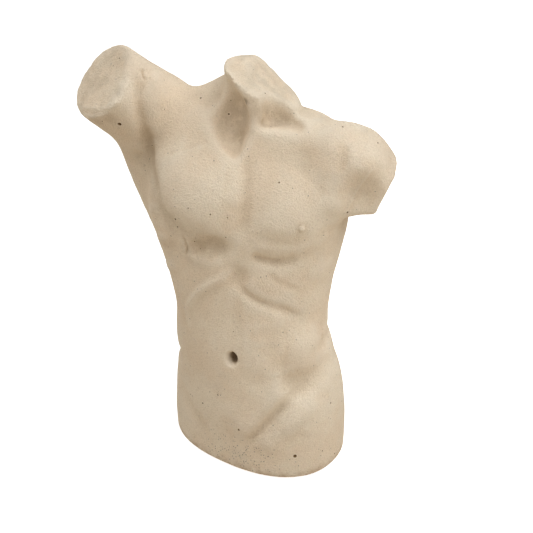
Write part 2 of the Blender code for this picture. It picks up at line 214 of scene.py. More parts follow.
# %% Neck and arms
# Neck: it leans forward and its cut faces up and to the figure's left
NECK_ROOT = (-2, 36, 450)
NECK_TIP = (-6, 6, 680)
NECK_SECTIONS = ((0.0, 56, 54), (0.42, 50, 49), (0.6, 51, 52), (1.0, 51, 52))
NECK_CUT_AT = (-11, 25, 576.8)
NECK_CUT_FACING = (0.52, 0.07, 0.85)
# Raised right arm: up, out and forward, with flesh folded below it and one side of its rim rolled over
RIGHT_JOINT = (-162, 4, 505)
RIGHT_AIM = (-0.52, -0.62, 0.58)
RIGHT_REACH = 170.0
RIGHT_SECTIONS = ((0.0, 63, 58), (0.35, 60, 57), (0.65, 57, 58), (1.0, 55, 56))
RIGHT_CUT_SHARE = 0.625
RIGHT_CUT_FACING = (-0.30, -0.72, 0.63)
RIGHT_FOLD = ((-222, -62, 530), (-180, -36, 480))
RIGHT_ROLL_AT = (-176, -68, 585)
RIGHT_ROLL_FACING = (0.46, -0.56, 0.69)
# Lowered left arm: out, down and back. A brow of muscle overhangs a scoop in front of it
LEFT_JOINT = (126, 30, 466)
LEFT_AIM = (0.70, 0.38, -0.59)
LEFT_REACH = 140.0
LEFT_SECTIONS = ((0.0, 56, 56), (0.35, 52, 48), (0.7, 48, 44), (1.0, 46, 42))
LEFT_CUT_FACING = (0.855, 0.34, -0.39)
LEFT_CUT_AT = (174, 46, 439)
LEFT_SHOULDER = (126, 36, 464)
LEFT_BROW = ((136, 4, 490), (172, 26, 484))
LEFT_SCOOP = (194, -64, 436)
LEFT_UNDER_AT = (172, 0, 417)
LEFT_UNDER_FACING = (0.05, -0.10, -1.0)


def right_arm(p):
    """The raised stump: its cut face turns over in a broad roll towards the neck."""
    aim = np.array(RIGHT_AIM) / np.linalg.norm(RIGHT_AIM)
    joint = np.array(RIGHT_JOINT, float)
    d = limb(p, joint, joint + aim * RIGHT_REACH, RIGHT_SECTIONS)
    d = union(d, limb(p, *RIGHT_FOLD, ((0, 22, 22), (1, 22, 22))), 20.0)
    d = cut(d, plane(p, RIGHT_ROLL_AT, RIGHT_ROLL_FACING), 14.0)
    cut_at = joint + aim * RIGHT_REACH * RIGHT_CUT_SHARE
    return cut(d, plane(p, cut_at, RIGHT_CUT_FACING), CUT_ROUNDING / PART)


def left_arm(p):
    """The lowered stump and the shoulder muscle above it, scooped out in front."""
    aim = np.array(LEFT_AIM) / np.linalg.norm(LEFT_AIM)
    joint = np.array(LEFT_JOINT, float)
    d = limb(p, joint, joint + aim * LEFT_REACH, LEFT_SECTIONS)
    d = union(d, lump(p, LEFT_SHOULDER, (61, 57, 62)), 20.0)
    d = union(d, limb(p, *LEFT_BROW, ((0, 24, 24), (1, 16, 16))), 16.0)
    d = cut(d, -lump(p, LEFT_SCOOP, (72, 72, 72)), 12.0)
    d = cut(d, plane(p, LEFT_UNDER_AT, LEFT_UNDER_FACING), 8.0)
    return cut(d, plane(p, LEFT_CUT_AT, LEFT_CUT_FACING), CUT_ROUNDING / PART)


print("the neck is cut at", NECK_CUT_AT, "and the right arm after", RIGHT_REACH * RIGHT_CUT_SHARE, "parts")


# %% [markdown]
# ## The whole body as one field
# Each union below joins one mass to the body, and its last number is how softly they meet. The last
# line cuts the foot off level, with a worn edge.

# %% The body
def body(p):
    """The whole figure without its finer carving."""
    d = trunk(p)
    neck = limb(p, NECK_ROOT, NECK_TIP, NECK_SECTIONS, up=(0, 1, 0))
    neck = cut(neck, plane(p, NECK_CUT_AT, NECK_CUT_FACING), CUT_ROUNDING / PART)
    d = union(d, neck, 16.0)
    # shoulder slopes, each with the flesh over its collar bone
    d = union(d, limb(p, (-20, 42, 568), (-136, 26, 506), ((0, 34, 34), (1, 28, 24))), 24.0)
    d = union(d, limb(p, (-26, -2, 508), (-132, -6, 502), ((0, 30, 30), (1, 34, 34))), 42.0)
    d = union(d, limb(p, (0, 60, 502), (122, 34, 490), ((0, 30, 30), (1, 30, 30))), 16.0)
    d = union(d, limb(p, (4, -2, 506), (112, 16, 498), ((0, 22, 22), (1, 28, 28))), 24.0)
    # the back fold of the raised arm
    fold = ((0, 24, 24), (0.2, 34, 38), (0.4, 40, 43), (1, 42, 46))
    d = union(d, limb(p, (-112, 10, 262), (-205, -12, 530), fold), 30.0)
    d = union(d, right_arm(p), 20.0)
    d = union(d, left_arm(p), 24.0)
    # buttocks
    d = union(d, lump(p, (-60, 60, 30), (66, 56, 78)), 16.0)
    d = union(d, lump(p, (50, 58, 34), (62, 54, 78)), 16.0)
    # hollows at the root of the neck
    pit = ((0, 8, 8), (0.35, 27, 27), (0.65, 24, 24), (1, 5, 5))
    d = cut(d, -limb(p, (-42, -28, 586), (-9, -50, 482), pit), 12.0)
    d = cut(d, -limb(p, (44, -14, 522), (49, -9, 640), ((0, 31, 31), (1, 31, 31)), up=(0, 1, 0)), 7.0)
    return cut(d, -p[..., 2], BASE_ROUNDING / PART)


def slope(shape, p, reach=0.5):
    steps = np.eye(3) * reach
    return np.stack([(shape(p + s) - shape(p - s)) / (2 * reach) for s in steps], -1)


def settle(shape, p, rounds=3):
    """Points moved onto the zero level of a shape, straight along its slope."""
    for _ in range(rounds):
        g = slope(shape, p)
        p = p - g * (shape(p) / np.maximum((g * g).sum(-1), 1e-6))[:, None]
    return p


middle = np.array([(0.0, 0.0, 300.0)])
print("the middle of the chest lies", round(float(-body(middle)[0])), "parts inside the stone")


# %% [markdown]
# ## From field to mesh
# A surface net turns the field into a mesh. It looks at a grid of samples, puts one point in every cell
# that the surface crosses, and joins the points of neighbouring cells with quads. Marching cubes would
# do it too, but its triangles are thin and uneven, which shows in a smooth finish. Most of the grid is
# far from the surface, so the field is worked out on a coarse grid first and in full only near it.

# %% Surface net
def surface_net(field, low, step):
    """A closed mesh of quads where a sampled field changes sign: one point per mixed cell."""
    corners = list(product((0, 1), repeat=3))
    nx, ny, nz = (n - 1 for n in field.shape)
    at = {c: field[c[0]:c[0] + nx, c[1]:c[1] + ny, c[2]:c[2] + nz] for c in corners}
    inside = sum((at[c] < 0).astype(int) for c in corners)
    cells = np.argwhere((inside > 0) & (inside < 8))
    number = np.full((nx, ny, nz), -1)
    number[tuple(cells.T)] = np.arange(len(cells))
    total, count = np.zeros((len(cells), 3)), np.zeros(len(cells))
    value = {c: at[c][tuple(cells.T)] for c in corners}
    for a, b in product(corners, corners):
        if sum(b) != sum(a) + 1 or any(q < p for p, q in zip(a, b)):
            continue
        crosses = (value[a] < 0) != (value[b] < 0)
        share = value[a] / np.where(crosses, value[a] - value[b], 1.0)
        spot = np.array(a) + share[:, None] * (np.array(b) - np.array(a))
        total += np.where(crosses[:, None], spot, 0.0)
        count += crosses
    points = low + (cells + total / count[:, None]) * step
    quads = []
    for axis in range(3):
        u, v = (axis + 1) % 3, (axis + 2) % 3
        ahead = np.moveaxis(field, (axis, u, v), (0, 1, 2))
        cell = np.moveaxis(number, (axis, u, v), (0, 1, 2))
        change = (ahead[:-1] < 0) != (ahead[1:] < 0)
        i, j, k = np.nonzero(change[:, 1:-1, 1:-1])
        j, k = j + 1, k + 1
        loop = np.stack([cell[i, j - 1, k - 1], cell[i, j, k - 1], cell[i, j, k], cell[i, j - 1, k]], 1)
        leaves = ahead[i, j, k] < 0
        quads.append(np.where(leaves[:, None], loop, loop[:, ::-1]))
    return points, np.concatenate(quads)


LOW = np.array((-290.0, -190.0, -12.0))
HIGH = np.array((290.0, 190.0, 690.0))
COARSE = 4
GRID_STEP = 3.5


def without_pinches(field):
    """Samples filled in wherever a square of four has stone at two opposite corners only.

    The surface would touch itself along an edge there.
    """
    for axis in (0, 1, 2) * 3:
        f = np.moveaxis(field, axis, 0)
        stone = f < 0
        a, b, c, d = stone[:, :-1, :-1], stone[:, 1:, :-1], stone[:, 1:, 1:], stone[:, :-1, 1:]
        for i, j, k in np.argwhere((a == c) & (b == d) & (a != b)):
            square = [(i, j, k), (i, j + 1, k), (i, j + 1, k + 1), (i, j, k + 1)]
            hollow = [spot for spot in square if f[spot] >= 0]
            f[min(hollow, key=lambda spot: f[spot], default=square[0])] = -0.01
    return field


def sampled(step):
    """The body's field on a fine grid: exact near the surface, only roughly right away from it."""
    wide = step * COARSE
    counts = np.ceil((HIGH - LOW) / wide).astype(int) + 1
    axes = [LOW[k] + wide * np.arange(counts[k]) for k in range(3)]
    field = body(np.stack(np.meshgrid(*axes, indexing="ij"), -1))
    for axis in range(3):
        at = np.arange((counts[axis] - 1) * COARSE + 1) / COARSE
        lower = np.minimum(at.astype(int), counts[axis] - 2)
        share = (at - lower).reshape([-1 if k == axis else 1 for k in range(3)])
        field = np.take(field, lower, axis) * (1 - share) + np.take(field, lower + 1, axis) * share
    near = np.nonzero(np.abs(field) < 1.3 * wide)
    field[near] = body(LOW + step * np.stack(near, -1))
    return without_pinches(field)


net_points, net_quads = surface_net(sampled(GRID_STEP), LOW, GRID_STEP)
print(len(net_points), "points and", len(net_quads), "quads")


# %% [markdown]
# ## A finer mesh where the carving is fine
# A grid fine enough for a nipple would be wasteful on a flat back. So the net is split again only inside
# a few zones: round the navel and the nipples, and along a crack, a seam, a nick and the rim of a cut.

# %% Splitting the zones
NAVEL = (7, -90, 191)
LEFT_NIPPLE = (100, -56, 405)
RIGHT_NIPPLE = (-25, -102, 405)
CRACK = ((-69, 372), (-67, 361), (-66, 350), (-69, 337))
SEAM = ((181, 496), (169, 475), (155, 454), (146, 434), (139, 418))
NICK = ((-161, 588), (-156, 581), (-150, 574))
RIM_LINE = ((-254, 524), (-236, 527), (-214, 531), (-195, 536), (-180, 541), (-168, 549), (-160, 560))
UPPER_RIB = ((30, 359), (45, 350), (58, 348), (72, 351))
LOWER_RIB = ((14, 306), (22, 298), (32, 291), (45, 285), (60, 284))
OUTER_RIB = ((66, 284), (76, 277), (86, 268), (97, 263))
BELLY_EDGE = ((77, 262), (81, 235), (82, 208), (80, 180), (79, 158))
GROIN = ((28, 50), (43, 69), (57, 88), (72, 109), (88, 130))
ZONES = ((NAVEL, 22, 2), (LEFT_NIPPLE, 15, 2), (RIGHT_NIPPLE, 12, 1), ((-68, -92, 354), 22, 1),
         ((-155, -48, 581), 12, 2), ((-225, -84, 530), 24, 1), ((-182, -92, 542), 24, 1),
         ((172, -4, 478), 22, 1), ((154, -12, 448), 22, 1))


def split(points, quads):
    """Triangles, with the edges inside each zone (middle, radius, times) cut in half that many times."""
    shape = bmesh.new()
    corners = [shape.verts.new(p) for p in points]
    for quad in quads:
        shape.faces.new([corners[i] for i in quad])
    for middle, radius, times in ZONES:
        for _ in range(times):
            inside = [e for e in shape.edges
                      if all((v.co - Vector(middle)).length < radius for v in e.verts)]
            bmesh.ops.subdivide_edges(shape, edges=inside, cuts=1, use_grid_fill=True)
    bmesh.ops.triangulate(shape, faces=shape.faces)
    points = np.array([v.co for v in shape.verts])
    shape.verts.index_update()
    triangles = np.array([[v.index for v in f.verts] for f in shape.faces])
    shape.free()
    return points, triangles


body_points, triangles = split(net_points, net_quads)
body_points = settle(body, body_points)
normals = slope(body, body_points)
normals /= np.linalg.norm(normals, axis=-1)[:, None]
print(len(triangles), "triangles after splitting")


# %% [markdown]
# ## Carving along the normals
# Muscles and creases are laid on the body as strokes and pads. A stroke follows a few waypoints that are
# seen straight from one side and dropped onto the body. It raises or sinks the surface along its normal,
# by a bell, a groove or a border that is steep on one side. Sculpt brushes work just like this.

# %% Strokes and pads
FACES = {"front": (0, -1, 0), "back": (0, 1, 0), "right": (-1, 0, 0), "left": (1, 0, 0)}


def across(face):
    """Which coordinates a place on this side of the figure gives: across and up."""
    return (0, 2) if face in ("front", "back") else (1, 2)


def lay(face, line, apart=4.0):
    """A smooth line through waypoints seen from one side, laid on the body as points."""
    line = np.array(line, float)
    length = np.linalg.norm(np.diff(line, axis=0), axis=1).sum()
    at = np.linspace(0, len(line) - 1, 200)
    seen = np.stack([glide(at, np.arange(len(line)), line[:, k]) for k in range(2)], -1)
    gone = np.append(0.0, np.cumsum(np.linalg.norm(np.diff(seen, axis=0), axis=1)))
    at = np.linspace(0, gone[-1], int(length / apart) + 3)
    seen = np.stack([np.interp(at, gone, seen[:, k]) for k in range(2)], -1)
    outward = np.array(FACES[face], float)
    depth = np.linspace(320.0, -60.0, 200)
    probe = outward * depth[:, None, None] + np.zeros((1, len(at), 1))
    probe[..., across(face)[0]] = seen[:, 0]
    probe[..., across(face)[1]] = seen[:, 1]
    field = body(probe)
    first = np.argmax(field < 0, axis=0)
    pick = np.arange(len(at))
    outer, inner = field[first - 1, pick], field[first, pick]
    share = outer / (outer - inner)
    return probe[first - 1, pick] * (1 - share[:, None]) + probe[first, pick] * share[:, None]


def beside(p, n, course):
    """Signed distance from a course (+ on its left when seen from outside) and the share along it."""
    run = np.gradient(course, axis=0)
    run /= np.linalg.norm(run, axis=1)[:, None]
    gap = np.linalg.norm(np.diff(course, axis=0), axis=1).mean()
    i = np.argmin(((p[:, None, :] - course) ** 2).sum(-1), axis=1)
    off = p - course[i]
    along = np.clip((off * run[i]).sum(-1), -gap, gap)
    off = off - along[:, None] * run[i]
    side = np.sign((np.cross(n, run[i]) * off).sum(-1))
    return np.linalg.norm(off, axis=-1) * side, (i + along / gap) / (len(course) - 1)


def stroke(face, line, reach, profile, fade_ends=0.22):
    """A feature that follows a line: profile gives its height at a signed distance."""
    course = lay(face, line)

    def rise(p, n):
        out = np.zeros(len(p))
        near = ((p > course.min(0) - reach) & (p < course.max(0) + reach)).all(-1)
        away, share = beside(p[near], n[near], course)
        out[near] = profile(away) * smoothstep(share / fade_ends) * smoothstep((1 - share) / fade_ends)
        return out
    return rise


def ridge(face, line, width, height):
    return stroke(face, line, 3 * width, lambda away: height * np.exp(-(away / width) ** 2))


def groove(face, line, width, depth):
    return ridge(face, line, width, -depth)


def step(face, line, width, height, fade):
    """A border: the surface rises on the left of the line and then eases back."""
    def profile(away):
        return height * smoothstep(0.5 + away / (2 * width)) * np.exp(-(np.maximum(away, 0) / fade) ** 2)
    return stroke(face, line, 2.5 * fade, profile)


def pad(face, middle, radii, height, tilt=0.0):
    """A swelling, or a dent when the height is negative, with a round or oval outline."""
    a, b = across(face)
    turn = math.radians(tilt)

    def rise(p, n):
        u, v = p[:, a] - middle[0], p[:, b] - middle[1]
        far = ((u * math.cos(turn) + v * math.sin(turn)) / radii[0]) ** 2
        far += ((v * math.cos(turn) - u * math.sin(turn)) / radii[1]) ** 2
        facing = np.clip(3 * n @ np.array(FACES[face], float), 0, 1)
        return height * np.clip(1 - far, 0, 1) ** 2 * facing
    return rise


print("strokes are laid from", ", ".join(FACES))


# %% [markdown]
# ## Chest and neck
# The breast muscles are two broad pads with a border below them, and a groove between. Low ridges run
# down the breast bone and the throat.

# %% Chest and neck carving
def chest():
    return [
        pad("front", (-58, 442), (90, 70), 12, -15),
        pad("front", (94, 430), (82, 76), 13, 10),
        step("front", ((-149, 505), (-143, 452), (-110, 427), (-81, 406), (-50, 393), (-15, 385), (15, 386)),
             14, 5, 80),
        step("front", ((30, 401), (48, 395), (77, 389), (100, 390), (116, 401), (137, 430), (148, 452)),
             12, 5, 50),
        groove("front", ((-2, 502), (10, 480), (18, 450), (23, 420), (23, 395), (22, 372)), 10, 3),
        ridge("front", ((-14, 494), (-6, 474), (2, 447), (6, 420)), 18, 2),
        ridge("front", ((0, 564), (4, 546), (8, 528), (10, 512)), 5, 3),
    ]


print(len(chest()), "strokes and pads on the chest")


# %% [markdown]
# ## Ribs and belly
# Below the chest the arch of the ribs stands out on both sides. The belly is a soft swelling that
# overhangs its own border at the figure's left, with the navel sunk in it.

# %% Ribs and belly carving
def ribs():
    return [
        groove("front", ((28, 358), (43, 353), (60, 348), (78, 350), (94, 357)), 8, 5),
        ridge("front", ((32, 374), (70, 370), (100, 376), (125, 390)), 10, 3),
        groove("front", ((49, 334), (66, 321), (85, 309), (98, 297)), 5, 1.5),
        groove("front", ((8, 309), (26, 298), (44, 287), (64, 279), (82, 272), (96, 262)), 7, 3.5),
        ridge("front", ((14, 340), (-4, 320), (-32, 300), (-56, 277), (-74, 246), (-70, 206)), 6, 3.5),
        pad("front", (-28, 360), (44, 26), -9, 15),
        pad("front", (12, 320), (24, 26), -4),
        # side muscles between the ribs, under the raised arm
        pad("front", (-126, 396), (26, 14), 3, 35),
        pad("front", (-116, 352), (26, 14), 3, 35),
        pad("front", (-106, 308), (26, 14), 3, 35),
        pad("front", (112, 330), (16, 26), 3, -20),
    ]


def belly():
    return [
        pad("front", (2, 140), (94, 130), 10),
        groove("front", ((22, 348), (19, 304), (14, 255), (10, 212)), 9, 1.5),
        step("front", ((58, 92), (74, 130), (80, 158), (76, 190), (77, 236), (76, 264), (64, 292)),
             12, 4, 40),
        groove("front", ((22, 232), (40, 231), (58, 232), (76, 237)), 8, 0.8),
        groove("front", ((30, 214), (44, 214), (58, 216), (74, 220)), 6, 0.6),
        pad("front", (44, 216), (40, 54), 4),
        pad("front", (50, 184), (30, 26), 2),
        pad("front", (98, 158), (32, 28), -8, -10),
        pad("front", (98, 212), (36, 50), 12),
        pad("front", (7, 191), (12, 15), -14),
    ]


print(len(ribs()) + len(belly()), "strokes and pads on the ribs and belly")


# %% [markdown]
# ## Hips, arms and back
# The fold of the groin runs down from the hip on the figure's left, and a deep groove runs down beside
# the raised arm. The photograph doesn't show the back, so it is plainer: a spine, two shoulder blades
# and two dimples above the buttocks.

# %% Hip, arm and back carving
def hips():
    groin = ((25, 48), (37, 65), (51, 85), (63, 103), (79, 127), (93, 144), (103, 155), (111, 159))
    return [
        groove("left", ((-48, 203), (-20, 205), (15, 208), (60, 220)), 10, 3),
        groove("right", ((-74, 150), (-40, 149), (0, 150), (50, 160)), 9, 5),
        ridge("front", ((110, 197), (120, 180), (128, 150), (132, 128)), 14, 2),
        step("front", groin, 8, 6, 40),
        groove("front", groin, 7, 3),
        ridge("front", ((126, 138), (112, 122), (98, 102), (82, 80), (66, 58), (54, 40)), 16, 4),
        pad("front", (106, 108), (36, 44), 4, -20),
        groove("front", ((-118, 104), (-92, 80), (-65, 64), (-36, 44)), 15, 2),
    ]


def limbs():
    return [
        groove("front", ((-167, 604), (-158, 588), (-153, 566), (-149, 540), (-149, 512), (-148, 482),
                         (-136, 456), (-112, 434), (-88, 414)), 11, 7),
    ]


def back():
    return [
        groove("back", ((-14, 520), (-18, 460), (-18, 400), (-14, 320), (-10, 240), (-4, 160), (-3, 110)),
               13, 8),
        ridge("back", ((-52, 400), (-50, 320), (-44, 240), (-38, 170)), 20, 5),
        ridge("back", ((18, 400), (24, 320), (26, 240), (32, 170)), 20, 5),
        groove("back", ((-3, 112), (-3, 70), (-3, 30), (-3, -10)), 8, 14),
        pad("back", (-92, 450), (50, 60), 9, -20),
        pad("back", (64, 424), (48, 58), 9, 8),
        step("back", ((60, 330), (30, 350), (22, 390), (24, 440)), 12, 4, 40),
        step("back", ((-62, 450), (-62, 400), (-74, 360), (-112, 330)), 12, 4, 40),
        pad("back", (-38, 128), (11, 11), -3),
        pad("back", (32, 128), (11, 11), -3),
    ]


print(len(hips()) + len(limbs()) + len(back()), "strokes and pads on the hips, arms and back")


# %% [markdown]
# ## Details too fine for the solid
# These are the marks that only a close look shows. Lines follow the body as before: a short crack in the
# flank, the line that the mould left on the arm, a nick beside the rolled rim, the sharp floors of the rib
# grooves and the groin, the belly's edge, the rim of the cut face and a few scratches. Spots are laid on
# the carved surface: the rim of the navel, one nipple that is still crisp, one that has worn away, and two
# chips.

# %% Fine marks
def pit(place, radii, depth):
    """A hole with steep sides and a rounded floor, seen from the front."""
    def rise(p, n):
        far = np.hypot((p[:, 0] - place[0]) / radii[0], (p[:, 2] - place[2]) / radii[1])
        return -depth * smoothstep((1 - far) / 0.7) * (n[:, 1] < 0)
    return rise


def knob(place, radius, height):
    """A small round knob with a shallow ditch round it."""
    def rise(p, n):
        far = np.linalg.norm(p - np.array(place, float), axis=-1) / radius
        return height * (smoothstep(1.6 - far) - 0.25 * np.exp(-((far - 1.7) / 0.5) ** 2))
    return rise


def fine_lines():
    return [
        groove("front", CRACK, 1.8, 2.4),
        ridge("front", SEAM, 2.0, 1.4),
        groove("front", NICK, 1.8, 2.4),
        groove("front", UPPER_RIB, 4.5, 2.0),
        groove("front", LOWER_RIB, 4.5, 2.2),
        groove("front", OUTER_RIB, 4.5, 1.4),
        step("front", BELLY_EDGE, 4.5, 1.6, 18),
        groove("front", GROIN, 4.0, 1.8),
        step("front", RIM_LINE, 4.0, 3.4, 30),
        groove("left", ((-3, 600), (1, 596), (6, 591)), 1.4, 1.2),
        groove("front", ((106, 82), (113, 76), (120, 71)), 1.3, 1.0),
    ]


def fine_spots():
    return [
        pit(NAVEL, (8, 11), 9),
        knob(LEFT_NIPPLE, 3.2, 3.8),
        knob(RIGHT_NIPPLE, 4.0, 0.8),
        pit((76, -76, 171), (3, 3), 1.6),
        pit((97, -55, 179), (3, 3), 1.6),
    ]


print(len(fine_lines()), "fine lines and", len(fine_spots()), "fine spots")


# %% [markdown]
# ## Unevenness of a hand-finished casting
# No cast figure is perfectly smooth. Broad and small lumps of noise move the surface by about half a
# millimetre, and two rougher sizes are added on the broken faces. The noise is a function of place, so
# it is the same in every run.

# %% Uneven surface
def uneven(points, size, amount, shift):
    """Noise along the normals: lumps of the given size, so many parts high."""
    return np.array([noise.noise(Vector(p) / size + Vector(shift)) for p in points]) * amount


def on_cut(p, point, facing, depth=7.0):
    """1 on a cut face, easing to 0 behind its rim."""
    return smoothstep(1 + plane(p, point, facing) / depth)


right_aim = np.array(RIGHT_AIM) / np.linalg.norm(RIGHT_AIM)
right_cut_at = np.array(RIGHT_JOINT) + right_aim * RIGHT_REACH * RIGHT_CUT_SHARE
on_neck = on_cut(body_points, NECK_CUT_AT, NECK_CUT_FACING) * (body_points[:, 2] > 540)
on_right = on_cut(body_points, right_cut_at, RIGHT_CUT_FACING) * (body_points[:, 0] < -150)
on_left = on_cut(body_points, LEFT_CUT_AT, LEFT_CUT_FACING) * (body_points[:, 0] > 150)
broken = np.clip(on_neck + on_right + on_left, 0, 1)
wear = uneven(body_points, 60, 0.9, (3, 1, 4)) + uneven(body_points, 14, 0.35, (1, 5, 9))
wear += broken * (uneven(body_points, 24, 1.6, (2, 6, 5)) + uneven(body_points, 8, 0.6, (3, 5, 8)))
print("unevenness in parts, lowest and highest:", round(wear.min(), 2), round(wear.max(), 2))

# %% [markdown]
# ## Raise the carving
# All heights are added up and the points move along the body's normals by that much, then the fine
# spots follow. Near the foot everything fades out, so that the underside stays flat.

# %% Finished points
carving = chest() + ribs() + belly() + hips() + limbs() + back() + fine_lines()
near_foot = smoothstep(body_points[:, 2] / 14.0)
heights = sum(raised(body_points, normals) for raised in carving) + wear
points = body_points + normals * (heights * near_foot)[:, None]
heights = sum(raised(points, normals) for raised in fine_spots())
points = points + normals * (heights * near_foot)[:, None]
points[:, 2] = np.where(np.abs(points[:, 2]) < 0.4, 0.0, points[:, 2])
print("figure box in parts", points.min(0).round(1), points.max(0).round(1))


# %% [markdown]
# ## Where dirt and painted shade settle and where hands rub
# Dirt stays in hollows and rubbing whitens what stands out; the brown in the hollows is also painted shade.
# Both come from the mesh: a copy of it is smoothed, and where the true surface lies below the copy there
# is a hollow, where it lies above there is a crest. A short smoothing finds creases and a long one finds
# broad hollows. A few places get more dark brown than their shape explains, partly dirt and partly
# painted shade, such as the pit beside the neck and the navel, and are listed.

# %% Hollows and crests
def smoothed(points, triangles, rounds):
    """The points after each has moved to the middle of its neighbours that many times."""
    ends = np.concatenate([triangles[:, [0, 1]], triangles[:, [1, 2]], triangles[:, [2, 0]]])
    count = np.bincount(ends[:, 0], minlength=len(points))
    for _ in range(rounds):
        sums = [np.bincount(ends[:, 0], weights=column, minlength=len(points))
                for column in points[ends[:, 1]].T]
        points = np.stack(sums, -1) / count[:, None]
    return points


# Dark brown laid on these places is partly dirt and partly painted shade: the neck pits, the groove and
# underside of the raised arm, the flank below the right breast, and the inside of the navel.
STAINS_AND_SHADE = (
    # round the neck
    ((-24, -22, 535), 44, 0.5), ((20, -18, 542), 24, 0.7), ((38, 4, 545), 30, 0.4), ((-8, -30, 546), 12, 0.5),
    ((-3, -28, 560), 9, 1.4), ((15, -17, 532), 10, 0.4), ((-16, -26, 508), 16, 0.5),
    # beside and below the raised arm
    ((-149, -54, 562), 22, 0.5), ((-149, -50, 535), 28, 0.5), ((-148, -55, 490), 34, 0.5),
    ((-232, -88, 514), 16, 0.5), ((-210, -95, 518), 16, 0.6), ((-186, -95, 526), 16, 0.6),
    ((-158, -66, 585), 16, 0.5), ((172, -8, 462), 34, 0.3),
    # below the right breast, and round the ribs and the crack
    ((-130, -75, 450), 36, 0.6), ((-112, -84, 412), 34, 0.6), ((-84, -92, 386), 30, 0.6),
    ((-50, -94, 372), 30, 0.5), ((-16, -92, 368), 26, 0.4), ((-50, -92, 342), 34, 0.5),
    ((-95, -80, 345), 30, 0.25), ((-69, -92, 352), 12, 0.5), ((70, -86, 350), 26, 0.25),
    # in the navel: painted shade in its hole
    ((9, -84, 191), 14, 2.0),
)


def stains_and_shade(points):
    """Grime and painted shade in certain places: each has a middle, a reach and a strength."""
    total = np.zeros(len(points))
    for middle, reach, strength in STAINS_AND_SHADE:
        far = np.linalg.norm(points - np.array(middle, float), axis=-1) / reach
        total += strength * smoothstep(1.4 * (1 - far))
    return total


crease = ((smoothed(points, triangles, 8) - points) * normals).sum(-1)
broad = ((smoothed(points, triangles, 60) - points) * normals).sum(-1)
# how hollow each point is; the material paints brown there, partly dirt and partly painted shade
hollow = np.clip(crease / 0.6, 0, 1) * 0.4 + smoothstep(broad / 5.0) * 0.6
crest = np.clip(-crease / 0.6, 0, 1)
stain_and_shade = stains_and_shade(points)
print("share of the surface in hollows:", round(float((hollow > 0.3).mean()), 3))


# %% [markdown]
# ## The mesh
# The arrays become one mesh, and the masks go along as attributes that the material reads. The pore
# mask says how many air holes to expect: many near the foot, where the mix stood in the mould, and few
# elsewhere. The pinhole mask does the same for specks that are too small to cut out. The photograph shows
# some larger holes singly, and these get a radius of their own.

# %% Build the mesh
PORES = (
    ((-176, -85, 516), 2.8), ((-144, -53, 480), 1.3), ((-44, -8, 531), 1.4), ((-88, -8, 543), 1.6),
    ((-204, -43, 596), 1.2), ((12, -1, 566), 1.0), ((62, -50, 460), 1.3), ((-19, -96, 416), 1.2),
    ((120, 20, 531), 1.3), ((168, 30, 513), 1.2), ((147, -13, 424), 1.4), ((-79, -98, 396), 1.8),
    ((-76, -96, 384), 1.3), ((-92, -91, 363), 1.1), ((-51, -91, 366), 1.1), ((24, -102, 78), 1.8),
    ((105, -73, 44), 2.7), ((-47, -90, 96), 1.3), ((-14, -96, 124), 1.2), ((135, -21, 116), 1.3),
)
PINHOLES_AT = (30, -96, 30)
PINHOLES_REACH = (95, 60, 42)


mesh = bpy.data.meshes.new("stone_torso")
mesh.from_pydata((points * PART).tolist(), [], triangles.tolist())
mesh.validate()
mesh.shade_smooth()
foot = smoothstep(1 - points[:, 2] / 60.0)
worn = np.linalg.norm((points - np.array(PINHOLES_AT, float)) / np.array(PINHOLES_REACH, float), axis=-1)
single = np.zeros(len(points))
for place, radius in PORES:
    single[np.argmin(np.linalg.norm(points - np.array(place, float), axis=-1))] = radius
masks = {
    "hollow": hollow, "crest": crest, "stain_and_shade": stain_and_shade, "broken": broken, "single_pore": single,
    "pore_share": 0.12 + 0.88 * foot,
    "pinhole": 0.015 + 0.06 * foot + 0.7 * smoothstep(1.2 * (1 - worn)),
}
for name, values in masks.items():
    layer = mesh.attributes.new(name, "FLOAT", "POINT")
    layer.data.foreach_set("value", values.astype(np.float32))
torso = bpy.data.objects.new("stone_torso", mesh)
bpy.context.scene.collection.objects.link(torso)
print(len(mesh.polygons), "faces,", int((single > 0).sum()), "single pores")


# %% [markdown]
# ## Stone as a material
# Cast stone is crushed limestone, sand and white cement, tamped into a mould and rubbed down. It is
# matt, because the broken grains scatter the light, and it is never one colour: paste and grains differ,
# damp leaves grey and ochre clouds, and handling leaves soft brown dirt in the hollows. Here that brown
# is also painted shade. The helpers here turn hex colours to linear ones and add a node with its settings
# and links.

# %% Helpers for materials
MM = 0.001


def srgb(text):
    """A hex colour as the linear colour that a shader needs."""
    values = [int(text[i:i + 2], 16) / 255 for i in (1, 3, 5)]
    return (*(v / 12.92 if v <= 0.04045 else ((v + 0.055) / 1.055) ** 2.4 for v in values), 1.0)


def add_node(tree, kind, settings=None, inputs=None):
    """One node with its settings, and inputs given as values or as another node's output."""
    node = tree.nodes.new(kind)
    for name, value in (settings or {}).items():
        setattr(node, name, value)
    for name, value in (inputs or {}).items():
        if isinstance(value, bpy.types.NodeSocket):
            tree.links.new(value, node.inputs[name])
        else:
            node.inputs[name].default_value = value
    return node


def per_metre(size_mm):
    """The scale of a texture whose features are this many millimetres across."""
    return 1.0 / (size_mm * MM)


print("a middle grey is", round(srgb("#808080")[0], 3), "as linear light")


# %% Cast stone
STONE_PALE = "#f2e3cc"
STONE_SAND = "#eedbc2"
STONE_GREY = "#e4d7c4"
CUT_GREY = "#c9bba5"
# the two dirt colours also paint shade: in hollows, in the listed places, in the navel and in the air holes
DIRT_AND_SHADE_BROWN = "#96784f"
RIM_BROWN = "#a9814d"
DIRT_AND_SHADE_DARK = "#5b4730"
RUBBED = "#f3ebdc"


